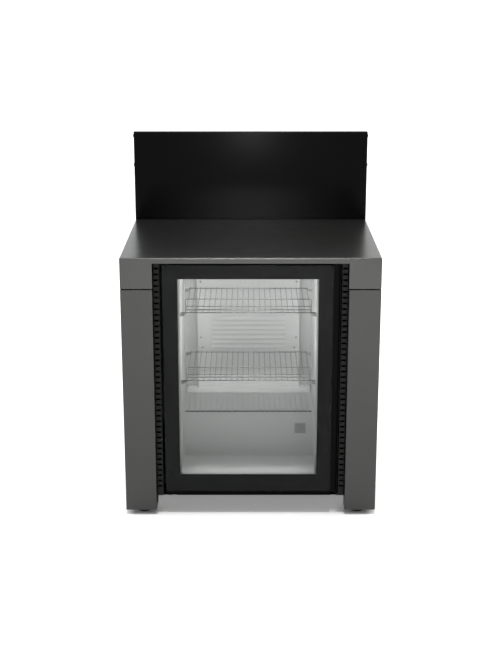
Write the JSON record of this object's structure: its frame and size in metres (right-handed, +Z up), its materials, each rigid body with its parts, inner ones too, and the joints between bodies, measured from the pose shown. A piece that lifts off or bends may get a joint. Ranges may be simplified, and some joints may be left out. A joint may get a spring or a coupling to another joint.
{
  "type": "outdoor kitchen fridge cabinet",
  "caption": "Graphite outdoor kitchen cabinet with a worktop, a black splash panel, slotted side vents and a built-in fridge with a left-hinged glass door and wire shelves.",
  "frame": {"origin": "on the floor, under the middle of the bounding box", "axes": "+X to the viewer's right, -Y to the front with the door, +Z up"},
  "size_m": [0.8754, 0.6604, 1.2495],
  "materials": {
    "graphite_coat": "satin fine powder coat, graphite grey",
    "splash_coat": "gloss black coat",
    "black_coat": "satin black coat",
    "black_steel": "blackened",
    "foot_rubber": "moulded",
    "black_plastic": "matt black",
    "glass_border": "black enamel border",
    "liner_white": "white, smooth",
    "light_diffuser": "frosted white",
    "foam": "rigid foam",
    "grey_plastic": "grey moulded",
    "plated_wire": "bright plated wire",
    "galvanised": "galvanised",
    "bare_aluminium": "plain",
    "pane": "clear float glass",
    "seal": "soft magnetic seal",
    "bush_plastic": "moulded"
  },
  "bodies": {
    "cabinet": {"back_panel": "graphite_coat", "compressor": "black_coat", "compressor_base_plate": "galvanised", "condensate_tray": "black_plastic", "condenser_coil": "black_coat", "control_plate": "grey_plastic", "evaporator": "bare_aluminium", "evaporator_fan_motor": "black_plastic", "foam_insulation": "foam", "fridge_housing": "black_coat", "front_base_rail": "black_coat", "hump_wire_mat": "plated_wire", "inner_liner": "liner_white", "interior_light": "light_diffuser", "left_front_foot": "foot_rubber", "left_front_shelf_standard": "liner_white", "left_leg_frame": "black_coat", "left_lower_splash_stud": "black_steel", "left_rear_foot": "foot_rubber", "left_rear_shelf_standard": "liner_white", "left_side_column": "graphite_coat", "left_upper_splash_stud": "black_steel", "left_vent_strip": "black_coat", "lower_hinge_bracket": "black_coat", "mains_inlet": "black_plastic", "middle_left_front_clip": "grey_plastic", "middle_left_rear_clip": "grey_plastic", "middle_right_front_clip": "grey_plastic", "middle_right_rear_clip": "grey_plastic", "middle_wire_shelf": "plated_wire", "rear_air_cover": "liner_white", "rear_base_rail": "black_coat", "right_front_foot": "foot_rubber", "right_front_shelf_standard": "liner_white", "right_leg_frame": "black_coat", "right_lower_splash_stud": "black_steel", "right_rear_foot": "foot_rubber", "right_rear_shelf_standard": "liner_white", "right_side_column": "graphite_coat", "right_upper_splash_stud": "black_steel", "right_vent_strip": "black_coat", "splash_panel": "splash_coat", "upper_hinge_bracket": "black_coat", "upper_left_front_clip": "grey_plastic", "upper_left_rear_clip": "grey_plastic", "upper_right_front_clip": "grey_plastic", "upper_right_rear_clip": "grey_plastic", "upper_wire_shelf": "plated_wire", "worktop": "graphite_coat"},
    "door": {"door_frame": "black_plastic", "door_glass_outer": "pane", "door_glass_inner": "pane", "door_glass_border": "glass_border", "glazing_spacer": "bare_aluminium", "door_gasket": "seal", "door_grip_profile": "black_coat", "upper_hinge_bush": "bush_plastic", "lower_hinge_bush": "bush_plastic"},
    "fan": {"evaporator_fan_rotor": "black_plastic"},
    "rocker": {"control_rocker": "grey_plastic"}
  },
  "joints": [
    {"name": "door_hinge", "type": "hinge", "parent": "cabinet", "child": "door", "pos_m": [-0.2815, -0.30215, 0.48], "axis": [0, 0, -1], "range_deg": [0, 115]},
    {"name": "fan_spin", "type": "hinge", "parent": "cabinet", "child": "fan", "pos_m": [-0.008, 0.13385, 0.536], "axis": [0, -1, 0], "continuous": true},
    {"name": "control_rock", "type": "hinge", "parent": "cabinet", "child": "rocker", "pos_m": [0.1795, -0.08893, 0.2295], "axis": [1, 0, 0], "range_deg": [-5, 5]}
  ]
}
